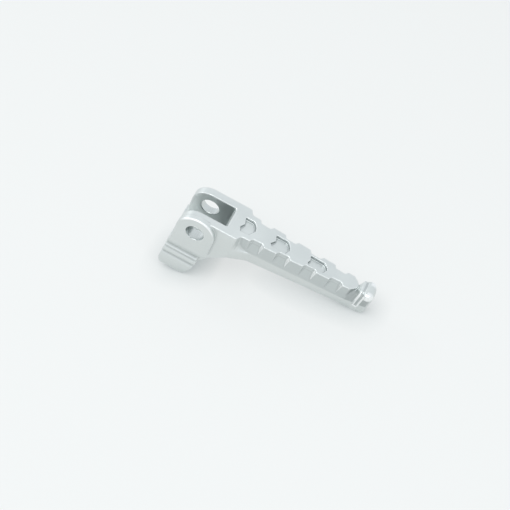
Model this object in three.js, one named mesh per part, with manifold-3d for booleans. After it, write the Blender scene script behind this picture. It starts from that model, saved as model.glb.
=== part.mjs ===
// Fold-up motorcycle foot peg: one aluminium casting.
//
// The peg is drawn in its tread frame, in millimetres:
//   origin  on the pivot axis, midway between the fork ears
//   +X      from the pivot out along the tread to the tip
//   +Y      along the pivot axis; the raised boss is on the -Y side
//   +Z      up, square to the tread
// and then tilted about the pivot axis by REST_PITCH, so that it stands on its heel and its
// tip on level ground.
import * as THREE from "three";
import { mergeVertices } from "three/addons/utils/BufferGeometryUtils.js";
import Module from "manifold-3d";

// ---- driving dimensions -------------------------------------------------------------
const REST_PITCH = THREE.MathUtils.degToRad(18.2);
const TREAD_Z = 9.6; // flat top of the ears and of the tread
const ROUND_STEPS = 16; // segments in a rounded corner
const BORE_STEPS = 64;
const CORNER_STEPS = 6; // segments in a small corner
const CUT_MARGIN = 4; // how far a cutter runs past the face it opens

// fork
const BORE_DIAMETER = 10.2; // clearance for a 10 mm pivot pin
const SLOT_HALF = 6.6;
const SLOT_END_X = 13.7; // inner end of the gap, at the tread
const SLOT_DRAFT = 1.2; // how much shorter the gap is at its floor
const SLOT_LEAD_IN = 0.5; // bevel where the inner end meets the tread
const SLOT_FLOOR_Z = -15.5;
const SLOT_FLOOR_BEVEL = 1.5;
const SLOT_CORNER_RADIUS = 1;
const EAR_HALF = 11.2;
const EAR_BACK_X = -10.6;
const EAR_CORNER_RADIUS = 9.8;
const EAR_FOOT_Z = -17;
const FORK_LOWER_EDGE = [
  [7.1, -24.3],
  [9.2, -21.5],
  [12.2, -16.8],
  [18.2, -11.3],
  [22.5, -7.6],
  [28, -5.5],
];

// boss around the bore, on the -Y ear
const BOSS_FACE_Y = -13.6;
const BOSS_BACK_Y = -10.4;
const BOSS_RADIUS = 10.9;
const BOSS_FOOT_Z = -13;

// heel: the block across the fork that stops the peg against its bracket
const HEEL_FAR_Y = 13.3;
const HEEL_FOOT_Z = -39.9;
const HEEL_TOP_BACK_X = -11.9;
const HEEL_FOOT_BACK_X = -12.8;
const HEEL_FOOT_X = -5; // where the foot is lowest
const HEEL_FRONT_X = 7.1;
const HEEL_FRONT_TOP_Z = -19.3;
const HEEL_FRONT_ROUND = 15.9; // height of the rounded front of the foot
const HEEL_BACK_ROUND = 7.4; // height of its rounded back
const HEEL_EDGE_ROUND = 2;

// tread bar
const ROOT_END_X = 19.9; // where the bar starts to neck in
const BAND_START_X = 23;
const BAND_START_HALF = 8.1;
const BAND_TAPER = 0.0576; // narrowing of half the width per mm of length
const BAND_Z = -1.9; // lower edge of the side bands
const BAND_UNDERCUT = 1; // how far the bands lean in towards that edge
const TREAD_START_X = 12;
const NOSE_START_X = 84.7;
const NOSE_CORNER_X = 86.9;
const NOSE_CORNER_HALF = 2.6;
const NOSE_X = 88.3;

// notches in the side bands
const NOTCH_COUNT = 4;
const NOTCH_FIRST_X = 27.3;
const NOTCH_PITCH = 15.15;
const NOTCH_DEPTH = 1.9; // at the tread
const NOTCH_LIP_DEPTH = 1.4; // at the foot of the sloping facet below the tread
const NOTCH_LIP_Z = 7;
const NOTCH_FLOOR_DEPTH = 2; // just below that facet
const NOTCH_FOOT_Z = 0; // where the floor of the notch runs out into the band
const NOTCH_LENGTH = 8; // at the tread
const NOTCH_DRAW_IN = 1.2; // how much shorter it is at the foot of the band
const NOTCH_INNER_FLARE = 1.2; // length of its sloping end towards the pivot
const NOTCH_OUTER_FLARE = 1.7; // and of the one towards the tip

// flat-floored pockets in the top of the tread
const POCKET_DEPTH = 1.9;
const POCKETS = [
  {
    start: [19.8, 4.6],
    wallEnd: [24.6, 4.6],
    bend: [27.4, 2.6],
    corner: [27.5, -0.7],
    foot: [25, -4.9],
    heel: [[20.2, -4.9], [19.3, -2.2], [20.9, 0.6]],
  },
  {
    start: [38.2, 3.8],
    wallEnd: [45, 3.8],
    bend: [47.4, 1.8],
    corner: [47.9, -1],
    foot: [46.6, -4.2],
    heel: [[38.6, -4.2], [37.2, -2.5], [39.3, 0.4]],
  },
  {
    start: [59.1, 2.8],
    wallEnd: [67.1, 2.6],
    bend: [69.2, 1.4],
    corner: [69.9, -0.6],
    foot: [68.6, -3.4],
    heel: [[60, -3.4], [59, -2], [59.9, 0]],
  },
];

// keel: the rounded rib under the tread
const KEEL_START_X = 5;
const KEEL_END_X = 98.3;
const KEEL_END_ROUND = 6.5;
const KEEL_STEPS = 84;
const KEEL_TIP_Z = -8.2;
const KEEL_SLOPE = 0.083; // deepening per mm back from the tip
const KEEL_INSET = 0.95; // keel side inside the tread edge
const KEEL_TIP_HALF = 3.8;
const KEEL_SQUARENESS = 2.5; // 2 would make the section an ellipse
const NECK_SQUARENESS = 3.4; // the same where it grows out of the fork
const NECK_RISE = 1.5; // how much shallower it is there
const NECK_FROM_X = 18.5; // the keel narrows from the width of the fork
const NECK_TO_X = 32; // to its own width
const SHOULDER_START_X = 20.6; // up to here the neck fills the side band to the tread
const SHOULDER_REACH = 2.8; // and beyond it falls away down the band
const SHOULDER_COVER = 0.4; // depth of its top inside the tread
const ARCH_DROP = 9.5; // extra depth where the keel runs into the heel
const ARCH_REACH = 5;
const SECTION_STEPS = 24;

// tip: a low rib and an upturned lip, with a groove between them. Each station gives its place,
// half its width and the height of its top.
const TIP_FOOT_Z = 0;
const TIP_FOOT_FROM_X = 92.2; // beyond this the foot of the lip climbs
const TIP_FOOT_SLOPE = 0.6;
const TIP_FOOT_SHARE = 0.72; // width at the foot as a share of the width at the lip
const TIP_STATIONS = [
  { x: 85, half: 2.4, footHalf: 3.8, topZ: 8.1 },
  { x: 88.3, half: 2.7, footHalf: 3.8, topZ: 8.4 },
  { x: 89.4, half: 3.8, footHalf: 3.8, topZ: 9.8 },
  { x: 90.3, half: 5.1, topZ: 11.2 },
  { x: 90.9, half: 5.2, topZ: 11.5 }, // rib
  { x: 91.5, half: 4.7, farHalf: 5.3, topZ: 11.3 },
  { x: 92.2, half: 4.6, farHalf: 5.5, topZ: 11.4 }, // groove, shallow on the +Y side
  { x: 92.9, half: 5.6, topZ: 12 },
  { x: 93.8, half: 6, topZ: 12.3 }, // lip
  { x: 95.6, half: 5.9, topZ: 12.3 },
  { x: 96.9, half: 5, topZ: 11.8 },
  { x: 97.7, half: 3.7, topZ: 10.9 },
  { x: 98.3, half: 1.8, topZ: 9.4 },
];
// Section of the tip above its foot: how far in from its side, and how far below its top.
const TIP_SHOULDER = [
  [0, 2.6],
  [0.5, 1],
  [1.5, 0.2],
];

// ---- helpers ------------------------------------------------------------------------
const wasm = await Module();
wasm.setup();

function solid(geometry) {
  geometry.deleteAttribute("normal");
  geometry.deleteAttribute("uv");
  const merged = mergeVertices(geometry, 1e-4);
  return new wasm.Manifold(
    new wasm.Mesh({
      numProp: 3,
      vertProperties: new Float32Array(merged.attributes.position.array),
      triVerts: new Uint32Array(merged.index.array),
    }),
  );
}

function geometryOf(manifold) {
  const mesh = manifold.getMesh();
  const geometry = new THREE.BufferGeometry();
  geometry.setAttribute("position", new THREE.BufferAttribute(mesh.vertProperties, 3));
  geometry.setIndex(new THREE.BufferAttribute(mesh.triVerts, 1));
  geometry.computeVertexNormals();
  return geometry;
}

// The solid that fills the space between neighbouring sections, each a list of points.
function lofted(sections) {
  return joined(sections.slice(1).map((section, i) => wasm.Manifold.hull([...sections[i], ...section])));
}

function extrude(shape, depth, steps = 1) {
  return new THREE.ExtrudeGeometry(shape, {
    depth,
    steps,
    bevelEnabled: false,
    curveSegments: ROUND_STEPS,
  });
}

function polygon(points) {
  return new THREE.Shape(points.map(([a, b]) => new THREE.Vector2(a, b)));
}

// The outline of a plan that is the same on both sides, from one side's points.
function mirroredPlan(half) {
  return polygon([...half.map(([x, y]) => [x, -y]), ...half.toReversed()]);
}

// A side view, drawn in X and Z, carried along Y.
function sidePrism(shape, fromY, toY) {
  const geometry = extrude(shape, toY - fromY);
  geometry.rotateX(Math.PI / 2);
  geometry.translate(0, toY, 0);
  return solid(geometry);
}

// A plan view, drawn in X and Y, carried up Z. bend moves each point of the result.
function planPrism(shape, fromZ, toZ, bend = (point) => point) {
  const geometry = extrude(shape, toZ - fromZ);
  geometry.translate(0, 0, fromZ);
  return solid(movePoints(geometry, bend));
}

// A section, drawn in Y and Z, carried along X.
function sectionPrism(shape, fromX, toX, steps = 1, bend = (point) => point) {
  const geometry = extrude(shape, toX - fromX, steps);
  const turned = movePoints(geometry, (point) => point.set(point.z + fromX, point.x, point.y));
  return solid(movePoints(turned, bend));
}

function movePoints(geometry, move) {
  const position = geometry.attributes.position;
  const point = new THREE.Vector3();
  for (let i = 0; i < position.count; i += 1) {
    point.fromBufferAttribute(position, i);
    move(point);
    position.setXYZ(i, point.x, point.y, point.z);
  }
  return geometry;
}

function joined(solids) {
  return solids.reduce((whole, part) => whole.add(part));
}

function quarter(shape, centreX, centreY, radiusX, radiusY, fromAngle, toAngle) {
  shape.absellipse(centreX, centreY, radiusX, radiusY, fromAngle, toAngle, toAngle < fromAngle);
}

// Half the width of the tread at its top.
function treadHalf(x) {
  return BAND_START_HALF - BAND_TAPER * (x - BAND_START_X);
}

// ---- fork ---------------------------------------------------------------------------
// Side view of the two ears and of the neck that joins them to the tread.
function forkOutline() {
  const centreX = EAR_BACK_X + EAR_CORNER_RADIUS;
  const centreZ = TREAD_Z - EAR_CORNER_RADIUS;
  const [arch, ...rest] = FORK_LOWER_EDGE.map(([x, z]) => new THREE.Vector2(x, z));
  const shape = new THREE.Shape();
  shape.moveTo(EAR_BACK_X, EAR_FOOT_Z);
  shape.lineTo(0, EAR_FOOT_Z);
  shape.lineTo(0, arch.y);
  shape.lineTo(arch.x, arch.y);
  shape.splineThru(rest);
  shape.lineTo(rest.at(-1).x, TREAD_Z);
  shape.lineTo(centreX, TREAD_Z);
  quarter(shape, centreX, centreZ, EAR_CORNER_RADIUS, EAR_CORNER_RADIUS, Math.PI / 2, Math.PI);
  return shape;
}

// One side of the neck in plan, from the width of the fork to the width of the tread.
function neckOut(shape, side) {
  const middleX = (ROOT_END_X + BAND_START_X) / 2;
  const [wide, slim] = [side * EAR_HALF, side * BAND_START_HALF];
  shape.lineTo(ROOT_END_X, wide);
  shape.bezierCurveTo(middleX, wide, middleX, slim, BAND_START_X, slim);
}

function neckBack(shape, side) {
  const middleX = (ROOT_END_X + BAND_START_X) / 2;
  const [wide, slim] = [side * EAR_HALF, side * BAND_START_HALF];
  shape.lineTo(BAND_START_X, slim);
  shape.bezierCurveTo(middleX, slim, middleX, wide, ROOT_END_X, wide);
}

function fork() {
  const startX = EAR_BACK_X - 1;
  const plan = new THREE.Shape();
  plan.moveTo(startX, -EAR_HALF);
  neckOut(plan, -1);
  neckBack(plan, 1);
  plan.lineTo(startX, EAR_HALF);
  const side = sidePrism(forkOutline(), -EAR_HALF - 1, EAR_HALF + 1);
  return side.intersect(planPrism(plan, HEEL_FOOT_Z, TREAD_Z));
}

// Side view of the boss and of the heel below it.
function bossAndHeelOutline() {
  const frontCentreZ = HEEL_FOOT_Z + HEEL_FRONT_ROUND;
  const backCentreZ = HEEL_FOOT_Z + HEEL_BACK_ROUND;
  const backRoundX = HEEL_FOOT_BACK_X + HEEL_BACK_ROUND;
  const shape = new THREE.Shape();
  shape.moveTo(-BOSS_RADIUS, 0);
  shape.lineTo(-BOSS_RADIUS, BOSS_FOOT_Z);
  shape.lineTo(HEEL_TOP_BACK_X, SLOT_FLOOR_Z);
  shape.lineTo(HEEL_FOOT_BACK_X, backCentreZ);
  quarter(shape, backRoundX, backCentreZ, HEEL_BACK_ROUND, HEEL_BACK_ROUND, Math.PI, Math.PI * 1.5);
  quarter(
    shape,
    HEEL_FOOT_X,
    frontCentreZ,
    HEEL_FRONT_X - HEEL_FOOT_X,
    HEEL_FRONT_ROUND,
    Math.PI * 1.5,
    Math.PI * 2,
  );
  shape.lineTo(HEEL_FRONT_X, HEEL_FRONT_TOP_Z);
  shape.lineTo(BOSS_RADIUS, BOSS_FOOT_Z);
  shape.lineTo(BOSS_RADIUS, 0);
  shape.absarc(0, 0, BOSS_RADIUS, 0, Math.PI, false);
  return shape;
}

// Section of the same pair: the boss stands on one ear, the heel runs right across. Below the
// boss, its -Y face steps in and out in two ribs above a smooth pad.
function bossAndHeelSection() {
  const shape = new THREE.Shape();
  shape.moveTo(BOSS_FACE_Y, BOSS_RADIUS + CUT_MARGIN);
  shape.lineTo(BOSS_FACE_Y, -15);
  shape.splineThru([
    new THREE.Vector2(-13.2, -17),
    new THREE.Vector2(-12.4, -19.4),
    new THREE.Vector2(-12.4, -20.6),
    new THREE.Vector2(-13.2, -21.4),
    new THREE.Vector2(-12.9, -22.6),
    new THREE.Vector2(-13.6, -24.2),
    new THREE.Vector2(-13.6, -25.8),
    new THREE.Vector2(-12.8, -27.7),
    new THREE.Vector2(-13.6, -29.4),
    new THREE.Vector2(-14, -33),
    new THREE.Vector2(-14, -37),
  ]);
  shape.lineTo(-14 + HEEL_EDGE_ROUND, HEEL_FOOT_Z);
  shape.lineTo(HEEL_FAR_Y - HEEL_EDGE_ROUND, HEEL_FOOT_Z);
  shape.lineTo(HEEL_FAR_Y, HEEL_FOOT_Z + HEEL_EDGE_ROUND);
  shape.lineTo(HEEL_FAR_Y, SLOT_FLOOR_Z);
  shape.lineTo(BOSS_BACK_Y, SLOT_FLOOR_Z);
  shape.lineTo(BOSS_BACK_Y, BOSS_RADIUS + CUT_MARGIN);
  return shape;
}

function bossAndHeel() {
  const face = sidePrism(bossAndHeelOutline(), BOSS_FACE_Y - CUT_MARGIN, HEEL_FAR_Y + CUT_MARGIN);
  const reach = HEEL_FOOT_BACK_X - CUT_MARGIN;
  return face.intersect(sectionPrism(bossAndHeelSection(), reach, BOSS_RADIUS + CUT_MARGIN));
}

// Plan of the gap between the ears at one height, ending at endX with rounded corners.
function slotLevel(z, endX) {
  const openX = HEEL_FOOT_BACK_X - CUT_MARGIN;
  const points = [[openX, -SLOT_HALF, z], [openX, SLOT_HALF, z]];
  for (let i = 0; i <= CORNER_STEPS; i += 1) {
    const angle = (Math.PI / 2) * (i / CORNER_STEPS);
    const x = endX - SLOT_CORNER_RADIUS * (1 - Math.sin(angle));
    const y = SLOT_HALF - SLOT_CORNER_RADIUS * (1 - Math.cos(angle));
    points.push([x, y, z], [x, -y, z]);
  }
  return points;
}

function slotCutter() {
  const floorEndX = SLOT_END_X - SLOT_DRAFT;
  return lofted([
    slotLevel(SLOT_FLOOR_Z, floorEndX - SLOT_FLOOR_BEVEL),
    slotLevel(SLOT_FLOOR_Z + SLOT_FLOOR_BEVEL, floorEndX),
    slotLevel(TREAD_Z - SLOT_LEAD_IN, SLOT_END_X - SLOT_LEAD_IN),
    slotLevel(TREAD_Z + CUT_MARGIN, SLOT_END_X + CUT_MARGIN),
  ]);
}

function boreCutter() {
  const radius = BORE_DIAMETER / 2;
  const length = HEEL_FAR_Y - BOSS_FACE_Y + 2 * CUT_MARGIN;
  return solid(new THREE.CylinderGeometry(radius, radius, length, BORE_STEPS));
}

// ---- tread --------------------------------------------------------------------------
function treadOutline() {
  const noseHalf = treadHalf(NOSE_START_X);
  const shape = new THREE.Shape();
  shape.moveTo(TREAD_START_X, -EAR_HALF);
  neckOut(shape, -1);
  shape.lineTo(NOSE_START_X, -noseHalf);
  shape.lineTo(NOSE_CORNER_X, -NOSE_CORNER_HALF);
  shape.quadraticCurveTo(NOSE_X, -NOSE_CORNER_HALF / 2, NOSE_X, 0);
  shape.quadraticCurveTo(NOSE_X, NOSE_CORNER_HALF / 2, NOSE_CORNER_X, NOSE_CORNER_HALF);
  shape.lineTo(NOSE_START_X, noseHalf);
  neckBack(shape, 1);
  shape.lineTo(TREAD_START_X, EAR_HALF);
  return shape;
}

// How far down the side band a height is, from 0 at the tread to 1 at the lower edge.
function bandShare(z) {
  return (TREAD_Z - z) / (TREAD_Z - BAND_Z);
}

function tread() {
  const leanIn = (point) => {
    const lean = THREE.MathUtils.smoothstep(point.x, ROOT_END_X, BAND_START_X) * BAND_UNDERCUT;
    const side = Math.sign(point.y);
    point.y = side * Math.max(0, Math.abs(point.y) - lean * bandShare(point.z));
    return point;
  };
  return planPrism(treadOutline(), BAND_Z, TREAD_Z, leanIn);
}

// Plan of a notch at one height: a floor at the given depth between two flared ends. open is 1
// for the full flare and 0 where the floor runs out.
function notchLevel(startX, side, z, depth, open = 1) {
  const endX = startX + NOTCH_LENGTH - NOTCH_DRAW_IN * bandShare(z);
  const lean = BAND_UNDERCUT * bandShare(z);
  const at = (x, inset) => [x, side * (treadHalf(x) - inset), z];
  return [
    at(startX, lean - CUT_MARGIN),
    at(startX, lean),
    at(startX + NOTCH_INNER_FLARE * open, depth),
    at(endX - NOTCH_OUTER_FLARE * open, depth),
    at(endX, lean),
    at(endX, lean - CUT_MARGIN),
  ];
}

// A notch: a sloping facet under the tread overhangs a floor that climbs out to the band.
function notchCutter(startX, side) {
  const level = (...height) => notchLevel(startX, side, ...height);
  const rise = (NOTCH_DEPTH - NOTCH_LIP_DEPTH) / (TREAD_Z - NOTCH_LIP_Z);
  const facet = [
    level(NOTCH_LIP_Z, NOTCH_LIP_DEPTH),
    level(TREAD_Z + 1, NOTCH_DEPTH + rise),
  ];
  const floor = [
    level(NOTCH_FOOT_Z, BAND_UNDERCUT * bandShare(NOTCH_FOOT_Z), 0),
    level(NOTCH_LIP_Z + 0.01, NOTCH_FLOOR_DEPTH),
  ];
  return lofted(facet).add(lofted(floor));
}

function notchCutters() {
  const cutters = [];
  for (let i = 0; i < NOTCH_COUNT; i += 1) {
    for (const side of [-1, 1]) {
      cutters.push(notchCutter(NOTCH_FIRST_X + i * NOTCH_PITCH, side));
    }
  }
  return joined(cutters);
}

function pocketCutter({ start, wallEnd, bend, corner, foot, heel }) {
  const shape = new THREE.Shape();
  shape.moveTo(...start);
  shape.lineTo(...wallEnd);
  shape.quadraticCurveTo(...bend, ...corner);
  shape.lineTo(...foot);
  heel.forEach((point) => shape.lineTo(...point));
  return planPrism(shape, TREAD_Z - POCKET_DEPTH, TREAD_Z + CUT_MARGIN);
}

// ---- keel ---------------------------------------------------------------------------
// How much a section belongs to the neck, from 1 at the fork to 0 on the plain keel.
function neckShare(x) {
  return 1 - THREE.MathUtils.smoothstep(x, NECK_FROM_X, NECK_TO_X);
}

function keelFoot(x) {
  const arch = ARCH_DROP * Math.exp(-(x - HEEL_FRONT_X) / ARCH_REACH);
  const plain = KEEL_TIP_Z - KEEL_SLOPE * (KEEL_END_X - x) + NECK_RISE * neckShare(x);
  return plain - Math.min(arch, ARCH_DROP);
}

function keelHalf(x) {
  const slim = Math.max(treadHalf(x) - KEEL_INSET, KEEL_TIP_HALF);
  return THREE.MathUtils.lerp(slim, EAR_HALF, neckShare(x));
}

// Height of the shoulders, which fall from the tread to the foot of the side bands.
function shoulderZ(x) {
  const share = Math.exp(-Math.max(0, x - SHOULDER_START_X) / SHOULDER_REACH);
  return THREE.MathUtils.lerp(BAND_Z, TREAD_Z, share);
}

// Half the width there, just inside the side band.
function shoulderHalf(x) {
  const slim = treadHalf(x) - BAND_UNDERCUT * bandShare(shoulderZ(x));
  const wide = 1 - THREE.MathUtils.smoothstep(x, ROOT_END_X, BAND_START_X);
  return THREE.MathUtils.lerp(slim, EAR_HALF, wide) - SHOULDER_COVER;
}

// A U swept along X at its own width, depth and squareness, closed by the two shoulders.
function keel() {
  const points = [];
  for (let i = 0; i <= SECTION_STEPS; i += 1) {
    const angle = (Math.PI * i) / SECTION_STEPS;
    points.push([Math.cos(angle), -Math.sin(angle)]);
  }
  points.push([-1, 1], [1, 1]);
  const size = (point) => {
    const { x, y, z } = point;
    const power = 2 / THREE.MathUtils.lerp(KEEL_SQUARENESS, NECK_SQUARENESS, neckShare(x));
    if (z > 0) {
      return point.set(x, y * shoulderHalf(x), shoulderZ(x) - 0.01);
    }
    const half = Math.abs(y) ** power * keelHalf(x);
    const depth = Math.abs(z) ** power * (BAND_Z - keelFoot(x));
    return point.set(x, Math.sign(y) * half, BAND_Z - 0.02 - depth);
  };
  const sweep = sectionPrism(polygon(points), KEEL_START_X, KEEL_END_X, KEEL_STEPS, size);
  const side = sidePrism(keelSide(), -EAR_HALF - 1, EAR_HALF + 1);
  return sweep.intersect(side).intersect(planPrism(keelPlan(), HEEL_FOOT_Z, TREAD_Z));
}

// Side view that rounds the lower corner at the tip.
function keelSide() {
  const roundX = KEEL_END_X - KEEL_END_ROUND;
  const roundZ = KEEL_TIP_Z + KEEL_END_ROUND;
  const shape = new THREE.Shape();
  shape.moveTo(0, TREAD_Z);
  shape.lineTo(0, HEEL_FOOT_Z);
  shape.lineTo(roundX, HEEL_FOOT_Z);
  shape.lineTo(roundX, KEEL_TIP_Z);
  quarter(shape, roundX, roundZ, KEEL_END_ROUND, KEEL_END_ROUND, Math.PI * 1.5, Math.PI * 2);
  shape.lineTo(KEEL_END_X, TREAD_Z);
  return shape;
}

// Plan view that rounds the upright corners at the tip.
function keelPlan() {
  const half = [
    [0, EAR_HALF + 1],
    [KEEL_END_X - 1.8, EAR_HALF + 1],
    [KEEL_END_X - 1.8, KEEL_TIP_HALF + 0.2],
    [KEEL_END_X - 0.6, KEEL_TIP_HALF - 0.5],
    [KEEL_END_X, KEEL_TIP_HALF - 1.9],
  ];
  return mirroredPlan(half);
}

// ---- tip ----------------------------------------------------------------------------
// One side of a section of the tip: its root in the keel, its foot, its shoulder and its crown.
function tipSide(x, side, half, footHalf, topZ) {
  const footZ = TIP_FOOT_Z + TIP_FOOT_SLOPE * Math.max(0, x - TIP_FOOT_FROM_X);
  const shoulder = TIP_SHOULDER.map(([inset, below]) => [Math.max(0, half - inset), topZ - below]);
  const root = [Math.min(footHalf, KEEL_TIP_HALF), BAND_Z];
  const outline = [root, [footHalf, footZ], ...shoulder, [0, topZ]];
  return outline.map(([y, z]) => [x, side * y, z]);
}

function tipSection({ x, half, farHalf = half, footHalf, topZ }) {
  const sideOf = (side, width) => tipSide(x, side, width, footHalf ?? width * TIP_FOOT_SHARE, topZ);
  return [...sideOf(-1, half), ...sideOf(1, farHalf)];
}

function tip() {
  return lofted(TIP_STATIONS.map(tipSection));
}

// ---- casting ------------------------------------------------------------------------
function pegCasting() {
  const body = joined([fork(), bossAndHeel(), tread(), keel(), tip()]);
  const cutters = joined([slotCutter(), boreCutter(), notchCutters(), ...POCKETS.map(pocketCutter)]);
  const aluminium = new THREE.MeshStandardMaterial({
    color: 0xc4cbcb,
    roughness: 0.45,
    metalness: 0.85,
  });
  const mesh = new THREE.Mesh(geometryOf(body.subtract(cutters)), aluminium);
  mesh.name = "peg_casting";
  mesh.rotation.y = REST_PITCH;
  return mesh;
}

const footPeg = new THREE.Group();
footPeg.add(pegCasting());

export default footPeg;
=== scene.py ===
import math
from types import SimpleNamespace

import bpy
import numpy as np
from mathutils import Matrix, Vector


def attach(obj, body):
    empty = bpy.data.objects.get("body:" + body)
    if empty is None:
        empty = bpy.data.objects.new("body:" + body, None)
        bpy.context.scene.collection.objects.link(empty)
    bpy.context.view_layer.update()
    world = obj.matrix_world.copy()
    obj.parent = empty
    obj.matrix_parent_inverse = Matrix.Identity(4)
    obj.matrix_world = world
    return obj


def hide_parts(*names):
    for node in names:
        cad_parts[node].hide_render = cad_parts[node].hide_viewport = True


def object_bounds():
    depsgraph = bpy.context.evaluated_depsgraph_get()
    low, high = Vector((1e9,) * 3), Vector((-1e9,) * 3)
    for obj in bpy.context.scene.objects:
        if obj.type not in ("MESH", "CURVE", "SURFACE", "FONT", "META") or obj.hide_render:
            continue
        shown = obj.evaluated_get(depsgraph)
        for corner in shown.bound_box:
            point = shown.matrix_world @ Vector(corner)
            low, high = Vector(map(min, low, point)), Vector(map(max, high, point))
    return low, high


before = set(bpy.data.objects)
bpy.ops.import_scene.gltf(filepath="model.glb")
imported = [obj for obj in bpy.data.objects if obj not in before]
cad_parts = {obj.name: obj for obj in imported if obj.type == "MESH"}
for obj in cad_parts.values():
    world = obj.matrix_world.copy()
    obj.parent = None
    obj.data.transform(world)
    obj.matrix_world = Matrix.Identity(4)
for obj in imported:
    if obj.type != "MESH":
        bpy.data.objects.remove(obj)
cad_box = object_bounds()

# ---- sizes of the casting -------------------------------------------------------------
# The tread frame has its origin on the pivot axis. Its x runs along the tread to the tip, its y across the
# tread, away from the boss, and its z square to the tread. Places are in its millimetres, as in the CAD.
MM_IN_M = 1000
UM_IN_M = 1e6
REST_PITCH = math.radians(18.2)  # turn of the tread frame about the pivot axis at rest
TREAD_Z = 9.6
BORE_RADIUS = 5.1
SLOT_HALF = 6.6  # half the gap between the ears
SLOT_END_X = 13.7
BAND_Z = -1.9  # lower edge of the side bands
BAND_START_X = 23.0
BAND_START_HALF = 8.1
BAND_TAPER = 0.0576  # narrowing of half the width per mm of length
SHOULDER_START_X = 20.6  # from here the top of the neck falls away down the band
SHOULDER_REACH = 2.8
TIP_START_X = 85.0
TIP_END_X = 97.5

# ---- making of the skin ---------------------------------------------------------------
VOXEL = 0.00024  # in metres
SMOOTH_SHARE = 0.5  # how far one pass moves a vertex towards its neighbours
EDGE_SMOOTHING = 2  # passes that round the edges, as tumbling does
BLEND_SMOOTHING = 45  # passes that blend the neck into the fork and round the lip
WEIGHT_STEPS = 8  # steps between plain and fully blended
BORE_SEARCH = 0.2  # mm either side of the bore's radius in which its wall is looked for
BORE_FACING = 0.9  # how squarely that wall faces the axis at least
CURVATURE_SPREAD = 2  # passes that widen the painted edge highlights and the painted shade in hollows

# ---- zones of the skin ----------------------------------------------------------------
# A pair is a fade: the stretch over which a zone sets in or ends. X and Z are places along those axes. A
# side is a distance from the middle plane, and a depth is one below the pivot axis.
NECK_START_X = (15.5, 18)
NECK_END_X = (25, 29)
NECK_TOP_Z = (6.6, 8.2)
NECK_SIDE = (6.4, 7)
HEEL_RIBS_SIDE = (11.5, 12.3)  # on the side of the boss only
HEEL_RIBS_DEPTH = (15, 17)
HEEL_RIBS_END_DEPTH = (30, 32)
HEEL_RIBS_BLEND = 0.35  # how strongly the ribs are blended; the neck and the lip are at 1
LIP_BLEND_X = (93.4, 94.6)

SHARP = (0.4, 3.0)  # bulge of an edge or a hollow, in micrometres
# Where the painted highlights on edges and on the lip's corners lie, and how strong they are.
TREAD_EDGE_Z = (5, 8)
TREAD_EDGE_END_X = (TIP_START_X + 2, TIP_START_X + 4)
TREAD_HIGHLIGHT = 0.1
BOSS_RIM_Z = (4, 8)
BOSS_RIM_SIDE = (12.4, 13)  # on the side of the boss only
TIP_RIB_X = (89.8, 90.2)
TIP_RIB_TOP_Z = (9.8, 11)
LIP_ROOT_X = (93.2, 93.6)
LIP_CORNER_X = (93.4, 94.2)
LIP_CORNER_SIDE = (1.6, 3.4)
LIP_CORNER_Z = (8, 9.4)
LIP_CORNER_HIGHLIGHT = 0.9

POCKETS_START_X = (16, 18)
POCKET_FLOOR_Z = (6.8, 7.2)
POCKET_INSET = (2.1, 2.4)  # from the edge of the tread
GROOVE_X = (91, 91.4)
NOTCHES_START_X = (26, 27)
NOTCHES_END_X = TIP_START_X - 2
NOTCH_SIDE = (3.4, 3.8)
NOTCH_FACET_Z = (4.5, 5.5)
NOTCH_TOP_Z = (8.6, 9.2)
HEEL_DEPTH = (14, 16)
HEEL_SIDE = (11, 12)  # on the side of the boss only
# Strength of the painted shade in each zone's concave corners.
GROOVE_SHADE = 0.7
POCKET_SHADE = 0.8
NOTCH_SHADE = 0.45
HEEL_SHADE = 0.5
PLAIN_SHADE = 0.3  # of a hollow anywhere else

BAND_FADE_X = (SHOULDER_START_X, SHOULDER_START_X + 2)
BAND_END_X = (TIP_END_X - 1, TIP_END_X)
BAND_FOOT = (-0.3, 1.2)  # height over the band's lower edge
BAND_TOP = (0, 0.5)  # height over the line at which the band stops
BAND_TOP_DROP = 0.6  # how far below the tread that line is
LIP_TOP_DROP = 1.6  # and beyond the nose of the tread
NOSE_X = TIP_START_X + 4
TIP_FOOT_SLOPE = 0.28  # climb of the lower edge per mm of length at the tip
BAND_FACING = (0.78, 0.92)
# Where the painted shade on the sides of the tip lies.
TIP_SIDE_X = (TIP_START_X - 0.5, TIP_START_X + 1)
TIP_SIDE_FACING = (0.5, 0.75)
PLAIN_RIB_X = (89.6, 90)  # between these two fades the rib and the groove keep the plain metal
PLAIN_RIB_END_X = (93.2, 93.8)

# Where the painted highlight on the notch ends lies.
NOTCH_ENDS_X = (30, 32)
LAST_NOTCH_END_X = (TIP_START_X - 2, TIP_START_X)
NOTCH_END_SIDE = (3.8, 4.4)
NOTCH_END_FOOT_Z = (BAND_Z, 0)
NOTCH_END_TOP_Z = (8.6, 9.4)
NOTCH_END_FACING = (0.35, 0.6)

# Where the painted shade on the walls of the fork's gap and the pockets lies.
GAP_SIDE = (SLOT_HALF + 0.3, SLOT_HALF + 0.6)
GAP_TOP_Z = (8.4, 9.2)
GAP_END_X = (SLOT_END_X + 0.2, SLOT_END_X + 0.6)
GAP_DEEPENING_X = (1, SLOT_END_X - 2)
GAP_SHADE = 0.13  # at the open end
GAP_DEEPENING = 0.53  # and this much more at the inner end
WALL_FACING = (0.6, 0.9)
WALL_TOP_Z = TREAD_Z - 0.2
BORE_WALL = (0.15, 0.4)  # distance from the bore's wall

# ---- colour of the casting, with painted shade and painted highlights -----------------
CAST_DARK = (0.64, 0.675, 0.67, 1)
CAST_LIGHT = (0.735, 0.765, 0.755, 1)
BAND_GREY = (0.52, 0.56, 0.56, 1)
TIP_SHADE_GREY = (0.36, 0.39, 0.39, 1)
SHADE_GREY = (0.42, 0.45, 0.45, 1)
PAINTED_HIGHLIGHT_GREY = (0.96, 0.97, 0.97, 1)
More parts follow.
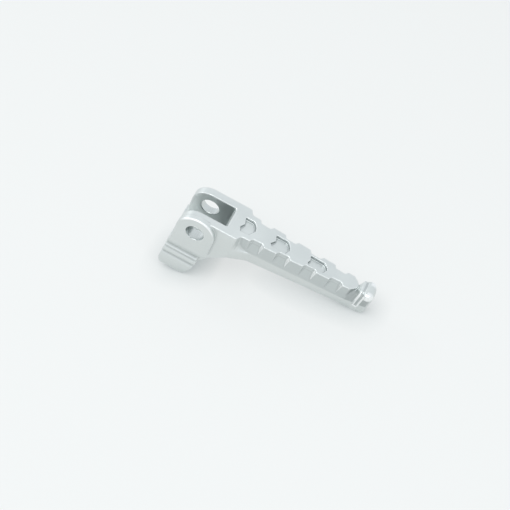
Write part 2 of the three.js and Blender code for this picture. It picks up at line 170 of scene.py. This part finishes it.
# What lies over the cast metal, from the bottom up: its mask, its share at the most and its colour. The
# bands are a darker tone, the tip's sides, hollows and gap are painted shade, and the notch ends and edges
# are painted highlights.
TONE_AND_PAINTED_LIGHT_LAYERS = [
    ("band", 0.7, BAND_GREY),
    ("tip_side_shade", 0.6, TIP_SHADE_GREY),
    ("hollow", 0.9, SHADE_GREY),
    ("gap", 0.85, SHADE_GREY),
    ("notch_end_highlight", 0.8, PAINTED_HIGHLIGHT_GREY),
    ("edge", 0.9, PAINTED_HIGHLIGHT_GREY),
]
CLOUD_SCALE = 55.0  # broad clouds of colour and gloss, per metre
CLOUD_RANGE = (0.3, 0.7)
GRAIN_SCALE = 1700.0  # the grain of the casting, per metre
GRAIN_STRENGTH = 0.25
GRAIN_HEIGHT = 0.00005
CAST_ROUGHNESS = (0.34, 0.44)
BORE_ROUGHNESS = 0.24

# ---- stage, in metres and watts -------------------------------------------------------
FLOOR_HALF = 3.0
FLOOR_COLOUR = (0.26, 0.265, 0.265, 1)
FLOOR_ROUGHNESS = 0.8
FLOOR_SPECULAR = 0.1
FLOOR_GLOW = 0.55
# Painted contact shadow: near the casting the floor's glow falls towards this colour, within this reach.
GLOW_IN_PAINTED_SHADOW = (0.44, 0.51, 0.52, 1)
GLOW_IN_OPEN = (0.98, 1.0, 0.99, 1)
PAINTED_SHADOW_REACH = 0.014
SKY_COLOUR = (0.93, 0.97, 1.0, 1)
SKY_STRENGTH = 0.95
# Each round soft light: its name, its place, the place it faces, its width and its power.
SOFT_LIGHTS = [
    ("overhead", (-0.05, -0.3, 0.9), (0.03, 0, 0), 0.85, 4.6),
    ("window", (-0.85, 0.35, 0.5), (0.03, 0, 0), 0.4, 1.0),
    ("side_fill", (0.65, -0.35, 0.65), (0.09, 0, 0), 0.22, 0.7),
]
# The camera is on the boss's side, a little towards the tip, and looks down at 50 degrees.
CAMERA_PLACE = Vector((0.18500, -0.38314, 0.47256))
CAMERA_DIRECTION = Vector((-0.24340, 0.59589, -0.76529))
CAMERA_LENS = 85.0
CAMERA_SENSOR = 36.0


# ---- mesh values ----------------------------------------------------------------------
def vertices_of(mesh):
    points = np.empty(len(mesh.vertices) * 3)
    mesh.vertices.foreach_get("co", points)
    return points.reshape(-1, 3)


def normals_of(mesh):
    normals = np.empty(len(mesh.vertices) * 3, np.float32)
    mesh.vertex_normals.foreach_get("vector", normals)
    return normals.reshape(-1, 3).astype(float)


def edges_of(mesh):
    edges = np.empty(len(mesh.edges) * 2, int)
    mesh.edges.foreach_get("vertices", edges)
    return edges.reshape(-1, 2)


def neighbour_mean(values, edges):
    """For each vertex, the mean of values over the vertices it shares an edge with."""
    total = np.zeros_like(values)
    count = np.zeros(len(values))
    for a, b in ((0, 1), (1, 0)):
        np.add.at(total, edges[:, a], values[edges[:, b]])
        np.add.at(count, edges[:, a], 1)
    return total / (count[:, None] if values.ndim == 2 else count)


def in_tread_frame(vectors):
    """Turns vectors of the row's frame into the tread frame and returns their x, y and z."""
    cos, sin = math.cos(REST_PITCH), math.sin(REST_PITCH)
    x = vectors[:, 0] * cos - vectors[:, 2] * sin
    z = vectors[:, 0] * sin + vectors[:, 2] * cos
    return x, vectors[:, 1], z


def rise(values, fade):
    """0 before the fade, 1 beyond it, and a smooth step between."""
    low, high = fade
    share = np.clip((values - low) / (high - low), 0, 1)
    return share * share * (3 - 2 * share)


def fall(values, fade):
    return 1 - rise(values, fade)


# ---- the skin of the casting ----------------------------------------------------------
def with_modifiers(piece, *added):
    """Bakes modifiers, each a kind and its settings, into the piece's mesh."""
    for kind, settings in added:
        modifier = piece.modifiers.new(kind.lower(), kind)
        for name, value in settings.items():
            setattr(modifier, name, value)
    depsgraph = bpy.context.evaluated_depsgraph_get()
    baked = bpy.data.meshes.new_from_object(piece.evaluated_get(depsgraph))
    piece.modifiers.clear()
    piece.data = baked


def blend_weights(mesh):
    """How strongly each vertex is blended: the neck and the lip fully, the heel's ribs a little."""
    x, y, z = (place * MM_IN_M for place in in_tread_frame(vertices_of(mesh)))
    neck = rise(x, NECK_START_X) * fall(x, NECK_END_X)
    neck *= fall(z, NECK_TOP_Z) * rise(np.abs(y), NECK_SIDE)
    ribs = rise(-y, HEEL_RIBS_SIDE) * rise(-z, HEEL_RIBS_DEPTH) * fall(-z, HEEL_RIBS_END_DEPTH)
    return np.maximum.reduce([neck, rise(x, LIP_BLEND_X), HEEL_RIBS_BLEND * ribs])


def true_bore(mesh):
    """Brings the walls of the bore back to its exact radius."""
    points = vertices_of(mesh)
    normals = normals_of(mesh)
    radius = np.hypot(points[:, 0], points[:, 2])
    facing_axis = -(points[:, 0] * normals[:, 0] + points[:, 2] * normals[:, 2]) / radius
    near_wall = np.abs(radius * MM_IN_M - BORE_RADIUS) < BORE_SEARCH
    scale = np.where(near_wall & (facing_axis > BORE_FACING), BORE_RADIUS / MM_IN_M / radius, 1)
    points[:, 0] *= scale
    points[:, 2] *= scale
    mesh.vertices.foreach_set("co", points.ravel())
    mesh.update()


def skin_of(source):
    """A dense copy of a CAD node with rounded edges, a blended neck and lip, and a true bore."""
    piece = bpy.data.objects.new("peg_casting_skin", source.data.copy())
    bpy.context.scene.collection.objects.link(piece)
    with_modifiers(piece, ("REMESH", {"mode": "VOXEL", "voxel_size": VOXEL}))
    steps = np.round(blend_weights(piece.data) * WEIGHT_STEPS)
    blended = piece.vertex_groups.new(name="blended")
    for step in range(1, WEIGHT_STEPS + 1):
        blended.add(np.flatnonzero(steps == step).tolist(), step / WEIGHT_STEPS, "REPLACE")
    blending = {"factor": SMOOTH_SHARE, "iterations": BLEND_SMOOTHING, "vertex_group": "blended"}
    rounding = {"factor": SMOOTH_SHARE, "iterations": EDGE_SMOOTHING}
    with_modifiers(piece, ("SMOOTH", blending), ("SMOOTH", rounding))
    piece.vertex_groups.clear()
    true_bore(piece.data)
    piece.data.shade_smooth()
    return piece


# ---- masks ----------------------------------------------------------------------------
def surface_of(mesh):
    """Each vertex's place and facing in the tread frame, and how far it bulges out of the surface."""
    points = vertices_of(mesh)
    normals = normals_of(mesh)
    edges = edges_of(mesh)
    bulge = ((points - neighbour_mean(points, edges)) * normals).sum(1) * UM_IN_M
    for _ in range(CURVATURE_SPREAD):
        bulge = neighbour_mean(bulge, edges)
    x, y, z = (place * MM_IN_M for place in in_tread_frame(points))
    facing_tip, facing_far, facing_up = in_tread_frame(normals)
    return SimpleNamespace(
        x=x,
        z=z,
        side=np.abs(y),
        boss_side=-y,
        depth=-z,
        from_axis=np.hypot(points[:, 0], points[:, 2]) * MM_IN_M,
        facing_pivot=-facing_tip,
        facing_sideways=np.abs(facing_far),
        facing_up=facing_up,
        bulge=bulge,
    )


def painted_edge_highlights(skin):
    """Painted highlights on convex edges and on the corners of the lip."""
    tread = rise(skin.z, TREAD_EDGE_Z) * fall(skin.x, TREAD_EDGE_END_X)
    boss = rise(skin.z, BOSS_RIM_Z) * rise(skin.boss_side, BOSS_RIM_SIDE)
    tip = rise(skin.x, TIP_RIB_X) * fall(skin.x, LIP_ROOT_X) * fall(skin.z, TIP_RIB_TOP_Z)
    highlit = np.maximum.reduce([TREAD_HIGHLIGHT * tread, boss, tip])
    corner = rise(skin.x, LIP_CORNER_X) * rise(skin.side, LIP_CORNER_SIDE) * rise(skin.z, LIP_CORNER_Z)
    return np.maximum(rise(skin.bulge, SHARP) * highlit, LIP_CORNER_HIGHLIGHT * corner)


def pockets(skin):
    """The pockets of the tread, over their floors and inside its edge."""
    from_edge = BAND_START_HALF - BAND_TAPER * (skin.x - BAND_START_X) - skin.side
    inside = rise(skin.z, POCKET_FLOOR_Z) * rise(from_edge, POCKET_INSET) * rise(skin.x, POCKETS_START_X)
    return inside * (skin.x < TIP_START_X)


def painted_crease_shade(skin):
    """Painted shade in concave corners, each by as much as its zone calls for."""
    groove = rise(skin.x, GROOVE_X) * fall(skin.x, LIP_ROOT_X)
    notches = rise(skin.x, NOTCHES_START_X) * (skin.x < NOTCHES_END_X) * rise(skin.side, NOTCH_SIDE)
    notches *= rise(skin.z, NOTCH_FACET_Z) * fall(skin.z, NOTCH_TOP_Z)
    heel = rise(skin.depth, HEEL_DEPTH) * rise(skin.boss_side, HEEL_SIDE)
    zones = [GROOVE_SHADE * groove, POCKET_SHADE * pockets(skin), NOTCH_SHADE * notches, HEEL_SHADE * heel]
    return rise(-skin.bulge, SHARP) * np.maximum(np.maximum.reduce(zones), PLAIN_SHADE)


def flanks(skin):
    """The strip along each side, from the shoulder of the neck to the end of the tip."""
    shoulder = np.exp(-np.clip(skin.x - SHOULDER_START_X, 0, None) / SHOULDER_REACH)
    climb = TIP_FOOT_SLOPE * np.clip(skin.x - TIP_START_X, 0, None)
    foot = BAND_Z + (TREAD_Z - BAND_Z) * shoulder + climb
    top = TREAD_Z - np.where(skin.x < NOSE_X, BAND_TOP_DROP, LIP_TOP_DROP)
    height = rise(skin.z - foot, BAND_FOOT) * fall(skin.z - top, BAND_TOP)
    return rise(skin.x, BAND_FADE_X) * fall(skin.x, BAND_END_X) * height


def side_bands(skin):
    """The darker bands along the sides."""
    return flanks(skin) * rise(skin.facing_sideways, BAND_FACING)


def painted_tip_shade(skin):
    """Painted shade on the sides of the tip below its nose and lip, apart from its rib and its groove."""
    plain = rise(skin.x, PLAIN_RIB_X) * fall(skin.x, PLAIN_RIB_END_X)
    tip = rise(skin.x, TIP_SIDE_X) * (1 - plain)
    return flanks(skin) * rise(skin.facing_sideways, TIP_SIDE_FACING) * tip


def painted_notch_highlights(skin):
    """Painted highlight on the ends of the notches that face the pivot."""
    bands = rise(skin.x, NOTCH_ENDS_X) * fall(skin.x, LAST_NOTCH_END_X) * rise(skin.side, NOTCH_END_SIDE)
    bands *= rise(skin.z, NOTCH_END_FOOT_Z) * fall(skin.z, NOTCH_END_TOP_Z)
    return rise(skin.facing_pivot, NOTCH_END_FACING) * bands


def painted_wall_shade(skin):
    """Painted shade on the walls of the fork's gap, darker towards its inner end, and on those of the
    pockets.
    """
    gap = fall(skin.side, GAP_SIDE) * fall(skin.z, GAP_TOP_Z) * fall(skin.x, GAP_END_X)
    gap *= GAP_SHADE + GAP_DEEPENING * rise(skin.x, GAP_DEEPENING_X)
    pocket_walls = pockets(skin) * fall(skin.facing_up, WALL_FACING) * (skin.z < WALL_TOP_Z)
    return np.maximum(gap, pocket_walls)


def bore_walls(skin):
    return fall(np.abs(skin.from_axis - BORE_RADIUS), BORE_WALL)


# The masks the material reads: the side bands a darker tone, the tip's sides, the hollows and the gap
# painted shade, the notch ends and the edges painted highlights, and the bore a lower roughness.
MASKS = {
    "edge": painted_edge_highlights,
    "hollow": painted_crease_shade,
    "band": side_bands,
    "tip_side_shade": painted_tip_shade,
    "notch_end_highlight": painted_notch_highlights,
    "gap": painted_wall_shade,
    "bore": bore_walls,
}


def add_masks(mesh):
    """Gives the mesh each mask as a value of 0 to 1 at every vertex, for the material to read."""
    skin = surface_of(mesh)
    for name, mask in MASKS.items():
        attribute = mesh.attributes.new(name, "FLOAT", "POINT")
        attribute.data.foreach_set("value", mask(skin).astype(np.float32))


# ---- materials ------------------------------------------------------------------------
def node(tree, kind, **inputs):
    """A new node with the inputs given; an underscore stands for a space in an input's name."""
    made = tree.nodes.new(kind)
    for name, value in inputs.items():
        made.inputs[name.replace("_", " ")].default_value = value
    return made


def ramp(tree, source, span, result):
    """Stretches a source from the span of values it has to the span wanted."""
    scaled = node(
        tree,
        "ShaderNodeMapRange",
        From_Min=span[0],
        From_Max=span[1],
        To_Min=result[0],
        To_Max=result[1],
    )
    tree.links.new(source, scaled.inputs["Value"])
    return scaled.outputs["Result"]


def mix(tree, kind, share, first, second):
    """Mixes two colours or two numbers, each an output of the tree or a plain value."""
    mixed = tree.nodes.new("ShaderNodeMix")
    mixed.data_type = kind
    tree.links.new(share, mixed.inputs["Factor"])
    for name, value in (("A", first), ("B", second)):
        if isinstance(value, bpy.types.NodeSocket):
            tree.links.new(value, mixed.inputs[name])
        else:
            mixed.inputs[name].default_value = value
    return mixed.outputs["Result"]


def mask_of(tree, name):
    attribute = tree.nodes.new("ShaderNodeAttribute")
    attribute.attribute_name = name
    return attribute.outputs["Fac"]


def new_material(name):
    """A new material, with its node tree and its shader."""
    material = bpy.data.materials.new(name)
    material.use_nodes = True
    tree = material.node_tree
    return material, tree, tree.nodes["Principled BSDF"]


def cast_aluminium():
    """Tumbled cast metal: clouded, grained, greyer in its bands, with painted shade and painted
    highlights.
    """
    material, tree, shader = new_material("cast_aluminium_skin")
    shader.inputs["Metallic"].default_value = 1.0
    place = tree.nodes.new("ShaderNodeTexCoord")
    cloud = node(tree, "ShaderNodeTexNoise", Scale=CLOUD_SCALE, Detail=4.0, Roughness=0.55)
    grain = node(tree, "ShaderNodeTexNoise", Scale=GRAIN_SCALE, Detail=3.0, Roughness=0.6)
    for texture in (cloud, grain):
        tree.links.new(place.outputs["Object"], texture.inputs["Vector"])

    metal = mix(tree, "RGBA", cloud.outputs["Fac"], CAST_DARK, CAST_LIGHT)
    for name, share, colour in TONE_AND_PAINTED_LIGHT_LAYERS:
        layer = ramp(tree, mask_of(tree, name), (0, 1), (0, share))
        metal = mix(tree, "RGBA", layer, metal, colour)
    tree.links.new(metal, shader.inputs["Base Color"])

    as_cast = ramp(tree, cloud.outputs["Fac"], CLOUD_RANGE, CAST_ROUGHNESS)
    roughness = mix(tree, "FLOAT", mask_of(tree, "bore"), as_cast, BORE_ROUGHNESS)
    tree.links.new(roughness, shader.inputs["Roughness"])

    bump = node(tree, "ShaderNodeBump", Strength=GRAIN_STRENGTH, Distance=GRAIN_HEIGHT)
    tree.links.new(grain.outputs["Fac"], bump.inputs["Height"])
    tree.links.new(bump.outputs["Normal"], shader.inputs["Normal"])
    return material


def table_with_painted_shadow():
    """A pale surface that glows evenly, with a painted contact shadow: its glow dims where something
    stands near it.
    """
    material, tree, shader = new_material("table_with_painted_shadow")
    shader.inputs["Base Color"].default_value = FLOOR_COLOUR
    shader.inputs["Roughness"].default_value = FLOOR_ROUGHNESS
    shader.inputs["Specular IOR Level"].default_value = FLOOR_SPECULAR
    shader.inputs["Emission Strength"].default_value = FLOOR_GLOW
    painted_shadow = node(tree, "ShaderNodeAmbientOcclusion", Distance=PAINTED_SHADOW_REACH)
    glow = mix(tree, "RGBA", painted_shadow.outputs["AO"], GLOW_IN_PAINTED_SHADOW, GLOW_IN_OPEN)
    tree.links.new(glow, shader.inputs["Emission Color"])
    return material


# ---- stage ----------------------------------------------------------------------------
def floor_at(level):
    mesh = bpy.data.meshes.new("floor")
    half = FLOOR_HALF
    corners = [(-half, -half, level), (half, -half, level), (half, half, level), (-half, half, level)]
    mesh.from_pydata(corners, [], [(0, 1, 2, 3)])
    mesh.materials.append(table_with_painted_shadow())
    floor = bpy.data.objects.new("floor", mesh)
    bpy.context.scene.collection.objects.link(floor)


def aim(thing, place, target):
    """Puts a light or a camera at a place, turned towards the target and upright."""
    back = (Vector(place) - Vector(target)).normalized()
    right = Vector((0, 0, 1)).cross(back).normalized()
    turn = Matrix((right, back.cross(right), back)).transposed()
    thing.matrix_world = Matrix.Translation(place) @ turn.to_4x4()


def soft_light(name, place, target, width, power):
    data = bpy.data.lights.new(name, "AREA")
    data.shape = "DISK"
    data.size = width
    data.energy = power
    light = bpy.data.objects.new(name, data)
    bpy.context.scene.collection.objects.link(light)
    aim(light, place, target)


def soft_sky():
    world = bpy.data.worlds.new("studio")
    world.use_nodes = True
    background = world.node_tree.nodes["Background"]
    background.inputs["Color"].default_value = SKY_COLOUR
    background.inputs["Strength"].default_value = SKY_STRENGTH
    bpy.context.scene.world = world


def studio_camera():
    data = bpy.data.cameras.new("camera")
    data.lens = CAMERA_LENS
    data.sensor_width = CAMERA_SENSOR
    camera = bpy.data.objects.new("camera", data)
    bpy.context.scene.collection.objects.link(camera)
    aim(camera, CAMERA_PLACE, CAMERA_PLACE + CAMERA_DIRECTION)
    bpy.context.scene.camera = camera


# ---- the scene ------------------------------------------------------------------------
casting = skin_of(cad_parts["peg_casting"])
add_masks(casting.data)
casting.data.materials.clear()
casting.data.materials.append(cast_aluminium())
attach(casting, "root")
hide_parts("peg_casting")

floor_at(cad_box[0][2])
soft_sky()
for light in SOFT_LIGHTS:
    soft_light(*light)
studio_camera()
bpy.context.scene.view_settings.view_transform = "Standard"
